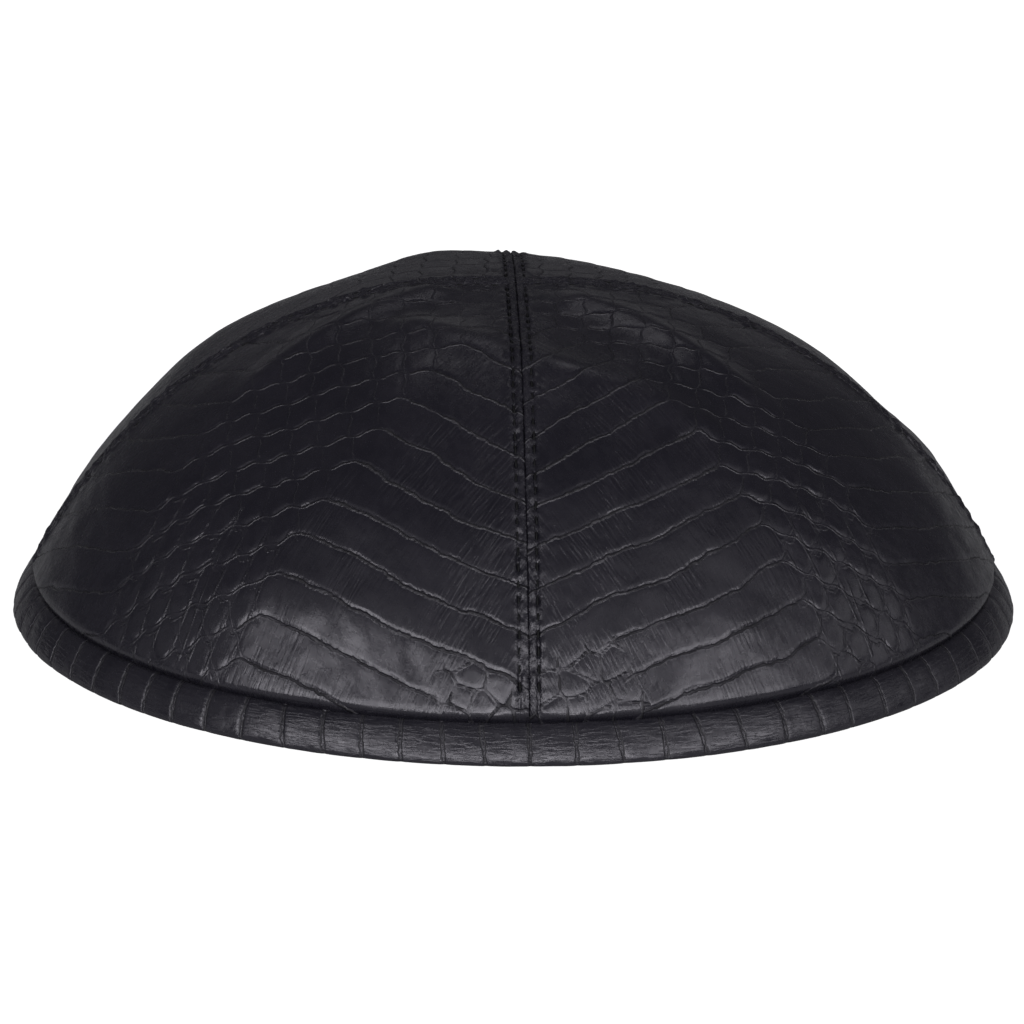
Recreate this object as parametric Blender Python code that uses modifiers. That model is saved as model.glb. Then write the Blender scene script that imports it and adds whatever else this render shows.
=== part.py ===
"""A snakeskin kippah: a shallow dome of four leather gores, bound round its rim with a folded leather strip.

Metres, +Z up, front towards -Y. The origin is the centre of the rim on the surface that the cap rests on.
Angles round the cap are azimuths from the front, positive towards +X. Left and right are the viewer's.
"""

import math

import bmesh
import bpy
import numpy as np
from mathutils import Vector

# Driving sizes
RIM_DIAMETER = 0.1754
CROWN_HEIGHT = 0.0609  # before the hollows sink it
GORE_LEATHER = 0.0016
BINDING_LEATHER = 0.0014
BINDING_WIDTH = 0.008
CLEARANCE = 0.0003
SEAM_STRIP = 0.0016
SEAM_ROLL = 0.0005
DENT_DEPTH = 0.002

# How finely each gore and the ring are divided
EVEN_ROWS = 15
RING_STEPS = 88
SMOOTH_BELOW = math.radians(40)

# The ball that the dome is cut from
RIM_RADIUS = RIM_DIAMETER / 2
DOME_RADIUS = (RIM_RADIUS**2 + CROWN_HEIGHT**2) / (2 * CROWN_HEIGHT)
CENTRE_DROP = DOME_RADIUS - CROWN_HEIGHT
RIM_POLAR = math.acos(CENTRE_DROP / DOME_RADIUS)
DOME_ARC = DOME_RADIUS * RIM_POLAR

# How far the pieces at the rim lie in from the dome's outer face
TUCK_DEPTH = BINDING_LEATHER + CLEARANCE
GROOVE_INSET = TUCK_DEPTH + GORE_LEATHER + CLEARANCE
BINDING_DEPTH = GROOVE_INSET + BINDING_LEATHER

# Columns: name, azimuth in degrees, reach from the crown and spread as shares of DOME_ARC,
# height as a share of DENT_DEPTH
HOLLOWS = (
    ("crown", 0, 0.03, 0.15, -0.85),
    ("front_right", 26, 0.21, 0.11, -0.80),
    ("front_left", -42, 0.15, 0.09, -0.45),
    ("left_shoulder", -50, 0.36, 0.11, -0.40),
    ("left_back_swell", -112, 0.53, 0.14, 0.72),
    ("crown_back_swell", -152, 0.27, 0.08, 0.60),
    ("right_back", 132, 0.33, 0.19, -0.68),
    ("right_flank", 104, 0.64, 0.06, -0.35),
    ("right_swell", 99, 0.76, 0.06, 0.25),
    ("left_low", -99, 0.87, 0.06, -0.30),
    ("right_low", 95, 0.88, 0.05, -0.25),
    ("behind_fold", -16, 0.17, 0.09, -0.55),
)

# Columns: name, azimuth in degrees and reach of one end, then of the other,
# half width as a share of DOME_ARC, height as a share of DENT_DEPTH
FOLDS = (
    ("left_ridge", -75, 0.14, -67, 0.44, 0.055, 0.45),
    ("right_ridge", 53, 0.13, 53, 0.44, 0.055, 0.40),
    ("front_fold_left", -36, 0.265, -3, 0.315, 0.048, 0.50),
    ("front_fold_right", -3, 0.315, 36, 0.495, 0.048, 0.52),
    ("low_swell_left", -42, 0.80, -4, 0.845, 0.055, 0.28),
    ("low_swell_right", 4, 0.80, 26, 0.80, 0.055, 0.28),
)

# Where each gore turns in under the binding.
# Columns: height up the slope as a share of BINDING_WIDTH, inset as a share of TUCK_DEPTH
TUCK_ROWS = (
    (1.75, 0.00),
    (1.45, 0.10),
    (1.25, 0.38),
    (1.08, 0.80),
    (0.94, 1.00),
)

# One leaf of the binding from its free edge down to where it meets the surface below.
# Columns: height as a share of the leaf, inset as a share of BINDING_LEATHER
LEAF_ROWS = (
    (1.000, 0.66),
    (0.975, 0.32),
    (0.890, 0.04),
    (0.620, -0.20),
    (0.330, -0.34),
    (0.130, -0.26),
    (0.030, 0.10),
    (0.000, 0.80),
)
GROOVE_MOUTH_SHARE = 0.955  # of BINDING_WIDTH, up the slope

LEATHER_COLOUR = (0.013, 0.013, 0.015, 1.0)
BINDING_COLOUR = (0.015, 0.015, 0.017, 1.0)
GORES = (
    ("gore_front_left", -1, -1),
    ("gore_front_right", 1, -1),
    ("gore_back_left", -1, 1),
    ("gore_back_right", 1, 1),
)


def clear_scene():
    for obj in list(bpy.data.objects):
        bpy.data.objects.remove(obj, do_unlink=True)


def make_collection(name):
    collection = bpy.data.collections.new(name)
    bpy.context.scene.collection.children.link(collection)
    return collection


def leather(name, colour, roughness):
    material = bpy.data.materials.new(name)
    material.use_nodes = True
    shader = material.node_tree.nodes["Principled BSDF"]
    shader.inputs["Base Color"].default_value = colour
    shader.inputs["Roughness"].default_value = roughness
    shader.inputs["Metallic"].default_value = 0.0
    material.diffuse_color = colour
    return material


def flat_place(azimuth_deg, reach):
    """A place on the dome laid out flat: the crown at the middle, the rim at a distance of 1."""
    azimuth = math.radians(azimuth_deg)
    return np.array((reach * math.sin(azimuth), -reach * math.cos(azimuth)))


def distance_to_fold(place, start, end):
    along = end - start
    share = np.clip(np.dot(place - start, along) / np.dot(along, along), 0, 1)
    return np.linalg.norm(place - start - share * along)


def dent(place):
    """How far the leather stands out from the ball here."""
    height = 0.0
    for _name, azimuth, reach, spread, share in HOLLOWS:
        distance = np.linalg.norm(place - flat_place(azimuth, reach))
        height += share * math.exp(-((distance / spread) ** 2))
    for _name, azimuth_a, reach_a, azimuth_b, reach_b, half_width, share in FOLDS:
        ends = flat_place(azimuth_a, reach_a), flat_place(azimuth_b, reach_b)
        height += share * math.exp(-((distance_to_fold(place, *ends) / half_width) ** 2))
    return height * DENT_DEPTH


def slope_height(inset, height):
    """The distance up the slope from the rim at which this inset has this height."""
    polar = math.acos((CENTRE_DROP + height) / (DOME_RADIUS - inset))
    return DOME_RADIUS * (RIM_POLAR - polar)


def wall_point(up_slope, inset):
    """(radius, height) of a point of the wall's section."""
    polar = RIM_POLAR - up_slope / DOME_RADIUS
    out = DOME_RADIUS - inset
    return out * math.sin(polar), out * math.cos(polar) - CENTRE_DROP


def gore_end():
    """The distance up the slope of a gore's lower edge, just clear of the binding's fold."""
    return slope_height(TUCK_DEPTH + GORE_LEATHER, BINDING_LEATHER + CLEARANCE)


def tuck(up_slope):
    """How far a gore is turned in at this distance up the slope."""
    heights = [share * BINDING_WIDTH for share, _inset in reversed(TUCK_ROWS)]
    insets = [share * TUCK_DEPTH for _height, share in reversed(TUCK_ROWS)]
    return float(np.interp(up_slope, heights, insets))


def grid_lines():
    """Reaches of a gore's grid lines: the seam's strip, even rows, then the rows of the turned-in edge."""
    strip = SEAM_STRIP / (DOME_ARC * math.pi / 4)
    edge = [1 - share * BINDING_WIDTH / DOME_ARC for share, _inset in TUCK_ROWS]
    even = np.linspace(strip, edge[0], EVEN_ROWS + 1)
    return [0.0, *even, *edge[1:], 1 - gore_end() / DOME_ARC]


def gore_point(across, along, side_x, side_y):
    """A point of a gore's outer face. Squares of the grid become rings and rays of a quarter of the dome."""
    reach = max(across, along)
    turn = 0.0 if reach == 0 else math.pi / 4 * min(across, along) / reach
    azimuth = math.pi / 2 - turn if across > along else turn
    ray = (math.sin(azimuth), math.cos(azimuth)) if reach > 0 else (0.0, 0.0)
    place = np.array((side_x * reach * ray[0], side_y * reach * ray[1]))
    up_slope = DOME_ARC * (1 - reach)
    out = DOME_RADIUS + dent(place) - tuck(up_slope)
    polar = reach * RIM_POLAR
    radius = out * math.sin(polar)
    from_seam = radius * min(ray)
    if from_seam < SEAM_STRIP and up_slope > BINDING_WIDTH:
        out -= SEAM_ROLL * (1 - from_seam / SEAM_STRIP) ** 2
        radius = out * math.sin(polar)
    # Half the seam's gap is left on each side, and none of it widens the rim.
    x = radius * ray[0] + CLEARANCE / 2 * (1 - ray[0])
    y = radius * ray[1] + CLEARANCE / 2 * (1 - ray[1])
    return Vector((side_x * x, side_y * y, out * math.cos(polar) - CENTRE_DROP))


def make_gore(name, side_x, side_y, material, collection):
    lines = grid_lines()
    cells = len(lines) - 1
    form = bmesh.new()
    bmesh.ops.create_grid(form, x_segments=cells, y_segments=cells, size=cells / 2)
    for vertex in form.verts:
        column = round(vertex.co.x + cells / 2)
        row = round(vertex.co.y + cells / 2)
        vertex.co = gore_point(lines[column], lines[row], side_x, side_y)
    form.normal_update()
    form.faces.ensure_lookup_table()
    middle = form.faces[len(form.faces) // 2]
    if middle.normal.dot(middle.calc_center_median()) < 0:
        bmesh.ops.reverse_faces(form, faces=form.faces)
    mesh = bpy.data.meshes.new(name)
    form.to_mesh(mesh)
    form.free()
    mesh.shade_smooth()
    mesh.set_sharp_from_angle(angle=SMOOTH_BELOW)
    mesh.materials.append(material)
    gore = bpy.data.objects.new(name, mesh)
    collection.objects.link(gore)
    wall = gore.modifiers.new("wall", "SOLIDIFY")
    wall.thickness = GORE_LEATHER
    wall.offset = -1
    wall.use_even_offset = True
    return gore


def leaf_points(inward):
    """One leaf's free face from top to bottom: the outer leaf's, or the inner leaf's, seen in section."""
    points = []
    for share, inset_share in LEAF_ROWS:
        inset = inset_share * BINDING_LEATHER
        if inward:
            inset = BINDING_DEPTH - inset
        base = slope_height(inset, 0)
        points.append(wall_point(base + share * (BINDING_WIDTH - base), inset))
    return points


def binding_section():
    """The binding's section, down the outer leaf, across the flat that rests below and up the inner leaf,
    then round the groove that holds the gores' edges."""
    mouth = GROOVE_MOUTH_SHARE * BINDING_WIDTH
    floor_in = slope_height(GROOVE_INSET, BINDING_LEATHER)
    floor_out = slope_height(BINDING_LEATHER, BINDING_LEATHER)
    groove = [
        wall_point(mouth, GROOVE_INSET),
        wall_point(floor_in, GROOVE_INSET),
        wall_point(floor_out, BINDING_LEATHER),
        wall_point(mouth, BINDING_LEATHER),
    ]
    return leaf_points(False) + leaf_points(True)[::-1] + groove


def make_binding(material, collection):
    points = [(radius, 0.0, height) for radius, height in binding_section()]
    edges = [(i, (i + 1) % len(points)) for i in range(len(points))]
    mesh = bpy.data.meshes.new("edge_binding")
    mesh.from_pydata(points, edges, [])
    mesh.materials.append(material)
    binding = bpy.data.objects.new("edge_binding", mesh)
    collection.objects.link(binding)
    ring = binding.modifiers.new("ring", "SCREW")
    ring.steps = RING_STEPS
    ring.render_steps = RING_STEPS
    ring.use_merge_vertices = True
    ring.merge_threshold = 0.0001
    ring.use_smooth_shade = True
    return binding


def main():
    clear_scene()
    cap = make_collection("kippah")
    skin = leather("gore_leather", LEATHER_COLOUR, 0.32)
    strip = leather("binding_leather", BINDING_COLOUR, 0.36)
    for name, side_x, side_y in GORES:
        make_gore(name, side_x, side_y, skin, cap)
    make_binding(strip, cap)


main()
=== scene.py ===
"""The looks of a snakeskin kippah: four leather gores, their top-stitching and a ribbed leather binding.

Metres in the frame's axes: +Z up, front towards -Y. Sizes are in millimetres where a name says so.
Angles round the cap are azimuths from the front, positive towards +X. Left and right are the viewer's.
"""

import math

import bpy
import numpy as np
from mathutils import Matrix, Vector


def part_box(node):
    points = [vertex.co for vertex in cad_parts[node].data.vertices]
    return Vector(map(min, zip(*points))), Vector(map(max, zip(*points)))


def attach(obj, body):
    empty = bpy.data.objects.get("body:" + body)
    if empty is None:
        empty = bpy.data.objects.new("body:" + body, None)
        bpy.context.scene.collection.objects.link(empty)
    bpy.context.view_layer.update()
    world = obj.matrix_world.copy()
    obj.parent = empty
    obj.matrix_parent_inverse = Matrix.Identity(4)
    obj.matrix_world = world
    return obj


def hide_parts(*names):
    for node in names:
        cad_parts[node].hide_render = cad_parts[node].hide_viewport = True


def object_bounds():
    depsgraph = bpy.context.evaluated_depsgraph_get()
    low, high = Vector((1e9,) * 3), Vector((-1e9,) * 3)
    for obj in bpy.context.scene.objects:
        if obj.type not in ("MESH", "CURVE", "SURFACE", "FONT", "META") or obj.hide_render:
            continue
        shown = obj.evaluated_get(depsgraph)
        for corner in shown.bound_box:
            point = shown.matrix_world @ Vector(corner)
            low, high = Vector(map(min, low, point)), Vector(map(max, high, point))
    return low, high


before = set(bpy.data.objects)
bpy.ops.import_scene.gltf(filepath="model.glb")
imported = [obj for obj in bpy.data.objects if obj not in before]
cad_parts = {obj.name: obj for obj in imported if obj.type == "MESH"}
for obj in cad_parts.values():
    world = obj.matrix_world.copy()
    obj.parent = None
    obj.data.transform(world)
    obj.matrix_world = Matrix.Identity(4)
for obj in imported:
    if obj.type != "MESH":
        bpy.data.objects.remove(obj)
cad_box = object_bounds()

MM = 0.001

# The cap's sizes, the same as the solids'
RIM_RADIUS = (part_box("edge_binding")[1].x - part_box("edge_binding")[0].x) / 2
CROWN_HEIGHT = 0.0609
GORE_LEATHER = 0.0016
BINDING_LEATHER = 0.0014
BINDING_WIDTH = 0.008
CLEARANCE = 0.0003
DENT_DEPTH = 0.002
DOME_RADIUS = (RIM_RADIUS**2 + CROWN_HEIGHT**2) / (2 * CROWN_HEIGHT)
CENTRE_DROP = DOME_RADIUS - CROWN_HEIGHT
RIM_POLAR = math.acos(CENTRE_DROP / DOME_RADIUS)
DOME_ARC = DOME_RADIUS * RIM_POLAR
TUCK_DEPTH = BINDING_LEATHER + CLEARANCE
GROOVE_INSET = TUCK_DEPTH + GORE_LEATHER + CLEARANCE
BINDING_DEPTH = GROOVE_INSET + BINDING_LEATHER

# Columns: name, azimuth in degrees, reach from the crown and spread as shares of DOME_ARC,
# height as a share of DENT_DEPTH
HOLLOWS = (
    ("crown", 0, 0.03, 0.15, -0.85),
    ("front_right", 26, 0.21, 0.11, -0.80),
    ("front_left", -42, 0.15, 0.09, -0.45),
    ("left_shoulder", -45, 0.52, 0.14, -0.85),
    ("left_back_swell", -112, 0.53, 0.14, 0.72),
    ("crown_back_swell", -152, 0.27, 0.08, 0.60),
    ("right_back", 132, 0.33, 0.19, -0.68),
    ("right_flank", 104, 0.64, 0.06, -0.35),
    ("right_swell", 99, 0.76, 0.06, 0.25),
    ("left_low", -99, 0.87, 0.06, -0.30),
    ("right_low", 95, 0.88, 0.05, -0.25),
    ("front", -8, 0.50, 0.14, -0.60),
)

# Columns: name, azimuth in degrees and reach of one end, then of the other,
# half width as a share of DOME_ARC, height as a share of DENT_DEPTH
FOLDS = (
    ("left_ridge", -75, 0.14, -67, 0.44, 0.034, 0.50),
    ("right_ridge", 53, 0.13, 53, 0.44, 0.034, 0.48),
    ("front_fold_left", -44, 0.23, -15, 0.25, 0.036, 0.40),
    ("front_fold_right", 1, 0.285, 36, 0.475, 0.036, 0.44),
    ("low_swell_left", -42, 0.80, -4, 0.845, 0.052, 0.28),
    ("low_swell_right", 4, 0.80, 26, 0.80, 0.052, 0.28),
)

# Columns: height up the slope as a share of BINDING_WIDTH, inset as a share of TUCK_DEPTH
TUCK_ROWS = (
    (1.24, 0.00),
    (1.15, 0.04),
    (1.09, 0.13),
    (1.05, 0.28),
    (1.02, 0.48),
    (0.99, 0.72),
    (0.96, 0.92),
    (0.92, 1.00),
)

# One leaf of the binding, smoother than the solid's.
# Columns: height as a share of the leaf, inset as a share of BINDING_LEATHER
LEAF_ROWS = (
    (0.972, 1.16),
    (0.968, 0.99),
    (0.935, 0.76),
    (0.87, 0.52),
    (0.78, 0.29),
    (0.66, 0.09),
    (0.52, -0.08),
    (0.38, -0.19),
    (0.25, -0.23),
    (0.13, -0.16),
    (0.04, 0.10),
    (0.0, 0.80),
)
GROOVE_MOUTH_SHARE = 0.955
LEAF_STEPS = 26

# How finely the gores are divided: distances from a seam, then steps of the open skin
SEAM_LINES_MM = (
    0, 0.06, 0.14, 0.25, 0.40, 0.58, 0.78, 0.98, 1.15, 1.3,
    1.42, 1.52, 1.6, 1.68, 1.78, 1.9, 2.08, 2.3, 2.6, 2.95,
)
SKIN_CELLS = 220
EDGE_CELLS = 17
TUCKED_CELLS = 4

# Forms across a seam. Columns: name, distance from the seam's middle, spread and height in millimetres,
# how much each stitch pinches the form
SEAM_FORMS_MM = (
    ("gap", 0.0, 0.13, -0.22, 0.0),
    ("strip", 0.80, 0.42, 0.26, 0.75),
    ("shoulder", 2.25, 0.48, 0.20, 0.7),
    ("allowance", 0.0, 4.50, 0.16, 0.0),
)
SEAM_HALF_GAP_MM = 0.02
SEAM_UNEVEN = ((0.3, 3.3, 61),)  # share, wave in millimetres, seed
SEAM_CRUMPLE_MM = ((0.11, 1.7, 62),)  # height, wave, seed
SEAM_CRUMPLE_ENDS_MM = (3.4, 1.8)
SKIN_STARTS_MM = (0.2, 2.6)  # where the skin's relief grows to its full height beside a seam
SKIN_BESIDE_SEAM = 0.25
STITCH_ROW_MM = 1.6
STITCH_GROOVE_MM = 0.30
STITCH_GROOVE_DEPTH_MM = 0.34
STITCH_GROOVE_LEAST = 0.4  # share of the groove's depth between two stitches
STITCH_PITCH_MM = 3.0
STITCH_LENGTH_MM = 2.15
SEAM_STARTS_MM = 2.6
SEAM_ENDS_MM = 9.4
SEAM_FADE_MM = 1.5

THREAD_RADIUS_MM = 0.19
THREAD_ARCH_MM = 0.16
THREAD_SUNK_MM = 0.10
THREAD_SIDES = 8
THREAD_RINGS = 7
THREAD_LEAN = 0.09
THREAD_LENGTHS = (0.84, 1.06)
THREAD_LIFTS_MM = (-0.08, 0.04)
THREAD_ASIDE_MM = 0.06

# The skin of each gore, laid flat round the gore's middle: u to the right and v down, in millimetres.
# Columns: node, side in X, side in Y, scale pitch down the gore, left and right ends of the dorsal zone,
# columns of dorsal scales, share of the pitch that row family a climbs per column, offset of the rows,
# strength of families a and b, seed, where the small cells start towards the middle seam and down the gore
SKINS = (
    ("gore_front_left", -1, -1, 7.90, -21.4, 13.9, 8, 0.42, -0.19, 1.0, 0.40, 11, 46, 13),
    ("gore_front_right", 1, -1, 7.05, -10.7, 13.9, 6, 0.533, 0.0, 0.50, 1.0, 12, 44, 9),
    ("gore_back_left", -1, 1, 7.40, -18.0, 14.0, 7, 0.50, 0.30, 0.9, 0.5, 13, 47, 15),
    ("gore_back_right", 1, 1, 7.60, -14.0, 18.0, 8, 0.45, 0.10, 0.5, 0.9, 14, 46, 12),
)
GORE_MIDDLE_POLAR = math.radians(42)

# How rows and columns of scales wander. Columns: height and wave in millimetres, added to the skin's seed
ROW_WANDERS_MM = ((0.45, 26, 0), (0.22, 9, 100), (0.11, 4, 150))
COLUMN_WANDERS_MM = ((0.35, 17, 200),)
# Rows bow down beside the dorsal zone. Columns: height and length in millimetres
BOW_RIGHT_MM = (1.5, 44)
BOW_LEFT_MM = (1.2, 34)
DORSAL_EDGE = (-0.6, 0.9)  # in columns of dorsal scales
LOW_ZONE_MM = (2, 13)
MIDDLE_ZONE_MM = (-6, 4)
SIDE_BLEND_MM = 4
MIDDLE_SWAY_MM = 0.9
MIDDLE_SWAY_WAVE_MM = 9
ZIGZAG = 0.06  # of a row's pitch
HEXAGON_POINT = 0.34  # of a row's pitch
DASH_GAPS = 0.75
CELL_BLEND_MM = (5, 6)
CELL_PLACES_ACROSS_MM = (40, 70, 4.4)
CELL_PLACES_DOWN_MM = (2, 38, 4.8)
CELL_SHIFTS_MM = (1.5, 1.7)
FAR_MM = 6  # so far from a crease that nothing of it shows

# How strongly creases show in each zone
LOW_ROWS = 0.65
LOW_CREASES = 0.55
MIDDLE_CREASE = 0.7
CELL_CREASES = 0.8
CREASE_MEAN = 0.85
CREASE_UNEVEN = ((0.22, 8, 400),)  # share, wave in millimetres, added to the skin's seed
CREASE_LIMITS = (0.3, 1.2)

# Heights of the skin's slow relief
STEP_MM = 0.12
DORSAL_STEP_MM = 0.22
FLANK_STEP_MM = 0.07
LIP_MM = 0.8
CREASE_DIP_MM = 0.06
OTHER_DIP_MM = 0.10
DIP_SPREAD_MM = 0.5
SKIN_SWELLS_MM = ((0.06, 15, 5), (0.025, 6, 6))  # height, wave, seed
CROWN_RELIEF = 0.4  # the skin lies flatter near the crown
CROWN_ZONE_MM = (-24, 4)

# The gores' edges on the inside, opened flat
ALLOWANCE_MM = 5.6
ALLOWANCE_THICK_MM = 0.75
ALLOWANCE_LEAST_MM = 0.1
ALLOWANCE_BACKING_MM = 0.08
ALLOWANCE_STARTS_MM = 9.0
ALLOWANCE_ENDS = 1.25  # binding widths above the rim
ALLOWANCE_ROWS = 140
ALLOWANCE_LINES_MM = (0, 0.2, 0.5, 1.0, 1.6, 2.2, 3.2, 4.4, 5.1, ALLOWANCE_MM)

RIBS = 75
RIB_WIDTHS = (0.88, 1.12)
RIB_LEAN = 0.10
RIB_SLANT_DEG = 10
RIB_SLANT_FROM = 0.6  # the azimuth, in radians, where the ribs stand upright
RIB_CREASE_MM = 0.24  # each rib's edge is a pair of fine creases, this far to either side
RIB_SAMPLES_MM = (0.0, 0.12, 0.26, 0.42, 0.62, 0.9, 1.4, 2.2)
RIB_STEP_MM = 0.06
RIB_STEP_FALL_MM = 0.7
RIB_DIP_MM = 0.11
RIB_DIP_SPREAD_MM = 0.42
RIB_BULGE_MM = 0.06
RIB_NIBBLE_MM = 0.10
RIB_ENDS = 0.25  # share of the relief at a leaf's top and bottom
RIBS_INSIDE = 0.7
BINDING_SWELLS_MM = ((0.035, 5, 31), (0.06, 17, 32))  # height, wave, seed

RIPPLE_WAVES = 7


def smooth(edge0, edge1, x):
    """0 below edge0, 1 above edge1 and a smooth climb between."""
    t = np.clip((x - edge0) / (edge1 - edge0), 0, 1)
    return t * t * (3 - 2 * t)


def bell(x, spread):
    return np.exp(-((x / spread) ** 2))


def unit(vector):
    return vector / np.linalg.norm(vector)


def ripple(u, v, wave, seed):
    """A smooth wander between about -1 and 1, with features about one wave apart."""
    draw = np.random.default_rng(seed)
    total = np.zeros_like(u, dtype=float)
    for turn, phase, stretch in zip(
        draw.uniform(0, 2 * math.pi, RIPPLE_WAVES),
        draw.uniform(0, 2 * math.pi, RIPPLE_WAVES),
        draw.uniform(0.7, 1.5, RIPPLE_WAVES),
    ):
        step = 2 * math.pi / (wave * stretch)
        total += np.sin((u * math.cos(turn) + v * math.sin(turn)) * step + phase)
    return total / math.sqrt(RIPPLE_WAVES)


def ripples(u, v, rows, seed=0):
    """The sum of several ripples, each row a height, a wave and what it adds to the seed."""
    return sum(height * ripple(u, v, wave, seed + more) for height, wave, more in rows)


def flat_place(azimuth_deg, reach):
    azimuth = math.radians(azimuth_deg)
    return reach * math.sin(azimuth), -reach * math.cos(azimuth)


def dent(x, y):
    """How far the leather stands out from the ball, for places on the dome laid out flat."""
    height = np.zeros_like(x)
    for _name, azimuth, reach, spread, share in HOLLOWS:
        px, py = flat_place(azimuth, reach)
        height += share * np.exp(-((x - px) ** 2 + (y - py) ** 2) / spread**2)
    for _name, azimuth_a, reach_a, azimuth_b, reach_b, half_width, share in FOLDS:
        ax, ay = flat_place(azimuth_a, reach_a)
        bx, by = flat_place(azimuth_b, reach_b)
        length = (bx - ax) ** 2 + (by - ay) ** 2
        along = np.clip(((x - ax) * (bx - ax) + (y - ay) * (by - ay)) / length, 0, 1)
        gap = (x - ax - along * (bx - ax)) ** 2 + (y - ay - along * (by - ay)) ** 2
        height += share * np.exp(-gap / half_width**2)
    return height * DENT_DEPTH


def slope_height(inset, height):
    """The distance up the slope from the rim at which this inset has this height."""
    polar = math.acos((CENTRE_DROP + height) / (DOME_RADIUS - inset))
    return DOME_RADIUS * (RIM_POLAR - polar)


def wall_point(up_slope, inset):
    """(radius, height) of a point of the wall's section."""
    polar = RIM_POLAR - up_slope / DOME_RADIUS
    out = DOME_RADIUS - inset
    return out * math.sin(polar), out * math.cos(polar) - CENTRE_DROP


def tuck(up_slope):
    heights = [share * BINDING_WIDTH for share, _inset in reversed(TUCK_ROWS)]
    insets = [share * TUCK_DEPTH for _height, share in reversed(TUCK_ROWS)]
    return np.interp(up_slope, heights, insets)


def leather_out(azimuth, polar):
    """The outer face's distance from the ball's middle, without skin or seams."""
    reach = polar / RIM_POLAR
    x, y = reach * np.sin(azimuth), -reach * np.cos(azimuth)
    return DOME_RADIUS + dent(x, y) - tuck(DOME_ARC - polar * DOME_RADIUS)


def cap_point(azimuth, polar, out):
    """The point at this distance from the ball's middle."""
    radius, height = out * np.sin(polar), out * np.cos(polar) - CENTRE_DROP
    return np.stack((radius * np.sin(azimuth), -radius * np.cos(azimuth), height), -1)


def grid_lines():
    """Places of a gore's grid lines between a seam, at 0, and the opposite corner, at 1."""
    across = DOME_ARC * math.pi / 4
    seam = [mm * MM / across for mm in SEAM_LINES_MM]
    edge_top = 1 - TUCK_ROWS[0][0] * BINDING_WIDTH / DOME_ARC
    edge_low = 1 - TUCK_ROWS[-1][0] * BINDING_WIDTH / DOME_ARC
    end = 1 - slope_height(TUCK_DEPTH + GORE_LEATHER, BINDING_LEATHER + CLEARANCE) / DOME_ARC
    skin = np.linspace(seam[-1], edge_top, SKIN_CELLS + 1)[1:]
    edge = np.linspace(edge_top, edge_low, EDGE_CELLS + 1)[1:]
    tucked = np.linspace(edge_low, end, TUCKED_CELLS + 1)[1:]
    lines = np.concatenate((seam, skin, edge, tucked))
    return lines if len(lines) % 2 else np.delete(lines, -2)  # the inner face takes every second line


class Patch:
    """Places of a gore's grid on the dome, and what the skin and the seams need of them."""

    def __init__(self, lines, side_x, side_y):
        across, along = np.meshgrid(lines, lines, indexing="ij")
        self.side_x, self.side_y = side_x, side_y
        self.reach = np.maximum(across, along)
        near = np.minimum(across, along)
        share = np.divide(near, self.reach, out=np.zeros_like(near), where=self.reach > 0)
        self.polar = self.reach * RIM_POLAR
        stretch = np.where(self.polar > 0, self.polar / np.sin(np.maximum(self.polar, 1e-9)), 1)
        turn = math.pi / 4 * share * (1 + (1 - share) * (stretch - 1))
        azimuth = np.where(across > along, math.pi / 2 - turn, turn)
        self.ray_x, self.ray_y = np.sin(azimuth), np.cos(azimuth)
        self.up_slope = DOME_ARC * (1 - self.reach)
        self.down_seam = DOME_ARC * self.reach
        half_gap = SEAM_HALF_GAP_MM * MM * np.cos(turn)
        self.from_seam = DOME_RADIUS * np.sin(self.polar) * np.sin(turn) + half_gap

    def ball(self):
        """Unit directions from the ball's middle."""
        return np.stack(
            (
                self.side_x * np.sin(self.polar) * self.ray_x,
                self.side_y * np.sin(self.polar) * self.ray_y,
                np.cos(self.polar),
            ),
            axis=-1,
        )

    def flat(self):
        """u and v in millimetres round the gore's middle: u to the right, v down."""
        azimuth = math.atan2(self.side_x, -self.side_y)
        sin_p, cos_p = math.sin(GORE_MIDDLE_POLAR), math.cos(GORE_MIDDLE_POLAR)
        middle = np.array((sin_p * math.sin(azimuth), -sin_p * math.cos(azimuth), cos_p))
        right = np.array((math.cos(azimuth), math.sin(azimuth), 0))
        down = np.array((cos_p * math.sin(azimuth), -cos_p * math.cos(azimuth), -sin_p))
        ball = self.ball()
        angle = np.arccos(np.clip(ball @ middle, -1, 1))
        scale = np.where(angle > 1e-6, angle / np.sin(np.maximum(angle, 1e-6)), 1) * DOME_RADIUS / MM
        return scale * (ball @ right), scale * (ball @ down)

    def base(self):
        """The distance from the ball's middle of the outer face, without skin or seams."""
        x = self.side_x * self.reach * self.ray_x
        y = self.side_y * self.reach * self.ray_y
        return DOME_RADIUS + dent(x, y) - tuck(self.up_slope)

    def place(self, out, half_gap):
        """Points at these distances from the ball's middle, with half the seam's gap left on each side."""
        radius = out * np.sin(self.polar)
        x = radius * self.ray_x + half_gap * (1 - self.ray_x)
        y = radius * self.ray_y + half_gap * (1 - self.ray_y)
        return np.stack((self.side_x * x, self.side_y * y, out * np.cos(self.polar) - CENTRE_DROP), axis=-1)


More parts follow.
